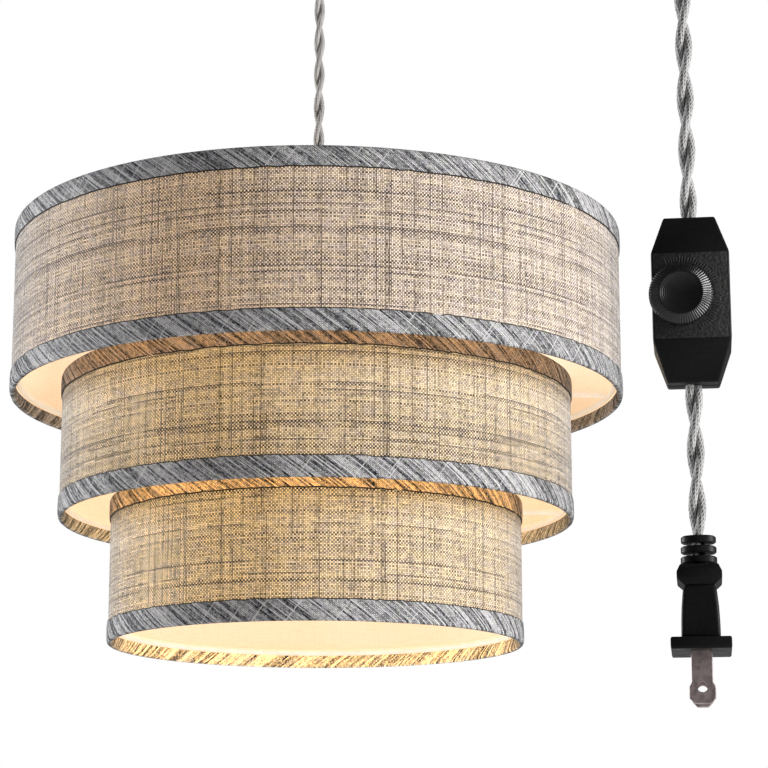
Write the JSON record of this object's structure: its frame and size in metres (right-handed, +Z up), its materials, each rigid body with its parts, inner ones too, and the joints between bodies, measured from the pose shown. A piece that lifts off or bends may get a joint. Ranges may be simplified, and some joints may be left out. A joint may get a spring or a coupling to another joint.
{
  "type": "pendant lamp",
  "caption": "Plug-in pendant lamp: three stepped fabric drums on a twisted textile cord, with an in-line rotary dimmer, a flat two-blade plug and screw-in ceiling hooks.",
  "frame": {"origin": "where the screw of the lamp's ceiling hook meets the ceiling", "axes": "+Z up, along the hook screw; -Y towards the side that faces the room, where the cord comes down to the dimmer and plug; +X to the right seen from there"},
  "size_m": [0.3011, 0.596, 0.5039],
  "materials": {
    "linen": "linen-look plain weave with slubs",
    "liner": "smooth translucent cream film",
    "trim": "the same linen cut on the bias, folded as tape",
    "white_wire": "white powder coat",
    "black_plastic": "moulded, satin to fine texture",
    "insulator": "phenolic",
    "brass": "stamped",
    "screw_shell": "rolled thread, nickel finish",
    "bulb_plastic": "satin",
    "bulb_glass": "frosted diffuser",
    "cord_textile": "braided silver-grey sheath, twisted pair",
    "tie": "woven hook-and-loop strap",
    "circuit": "board with solder mask",
    "steel": "zinc plated",
    "clamp_nylon": "nylon",
    "nickel": "worn nickel plate",
    "hook_white": "white powder coat"
  },
  "bodies": {
    "root": {"hook_lamp": "hook_white", "hook_cord": "hook_white", "cord_swag": "cord_textile", "cord_coil": "cord_textile", "coil_tie": "tie"},
    "pendant": {"cord_pendant": "cord_textile", "cord_grip": "black_plastic", "cord_grip_screw": "steel", "socket_cap": "black_plastic", "socket_body": "black_plastic", "socket_insulator": "insulator", "socket_shell": "screw_shell", "socket_contact": "brass", "socket_terminals": "brass", "shade_ring": "black_plastic", "spider_washer": "white_wire", "spider_arms": "white_wire", "spokes_2": "white_wire", "spokes_3": "white_wire", "fabric_1": "linen", "liner_1": "liner", "top_trim_1": "trim", "bottom_trim_1": "trim", "top_ring_1": "white_wire", "bottom_ring_1": "white_wire", "fabric_2": "linen", "liner_2": "liner", "top_trim_2": "trim", "bottom_trim_2": "trim", "top_ring_2": "white_wire", "bottom_ring_2": "white_wire", "fabric_3": "linen", "liner_3": "liner", "top_trim_3": "trim", "bottom_trim_3": "trim", "top_ring_3": "white_wire", "bottom_ring_3": "white_wire"},
    "bulb": {"bulb_globe": "bulb_glass", "bulb_housing": "bulb_plastic", "bulb_cap": "screw_shell", "bulb_insulator": "insulator", "bulb_contact": "screw_shell"},
    "drop": {"cord_drop": "cord_textile", "cord_tail": "cord_textile", "dimmer_front": "black_plastic", "dimmer_back": "black_plastic", "dimmer_screws": "steel", "dimmer_pot": "circuit", "dimmer_board": "circuit", "dimmer_clamps": "clamp_nylon", "plug_body": "black_plastic", "plug_relief": "black_plastic", "plug_blade_neutral": "nickel", "plug_blade_hot": "nickel"},
    "knob": {"dimmer_knob": "black_plastic", "dimmer_shaft": "steel"}
  },
  "joints": [
    {"name": "pendant_swing", "type": "hinge", "parent": "root", "child": "pendant", "pos_m": [-0.00158, 0.00579, -0.057], "axis": [0, 1, 0], "range_deg": [-20, 20]},
    {"name": "bulb_unscrew", "type": "slide", "parent": "pendant", "child": "bulb", "axis": [0, 0, -1], "range_m": [0, 0.032]},
    {"name": "drop_swing", "type": "hinge", "parent": "root", "child": "drop", "pos_m": [0.11551, -0.42457, -0.091], "axis": [0, 1, 0], "range_deg": [-15, 15]},
    {"name": "dial_turn", "type": "hinge", "parent": "drop", "child": "knob", "pos_m": [0.11071, -0.43412, -0.3413], "axis": [0.1613, 0.9869, 0], "range_deg": [-150, 150]}
  ]
}
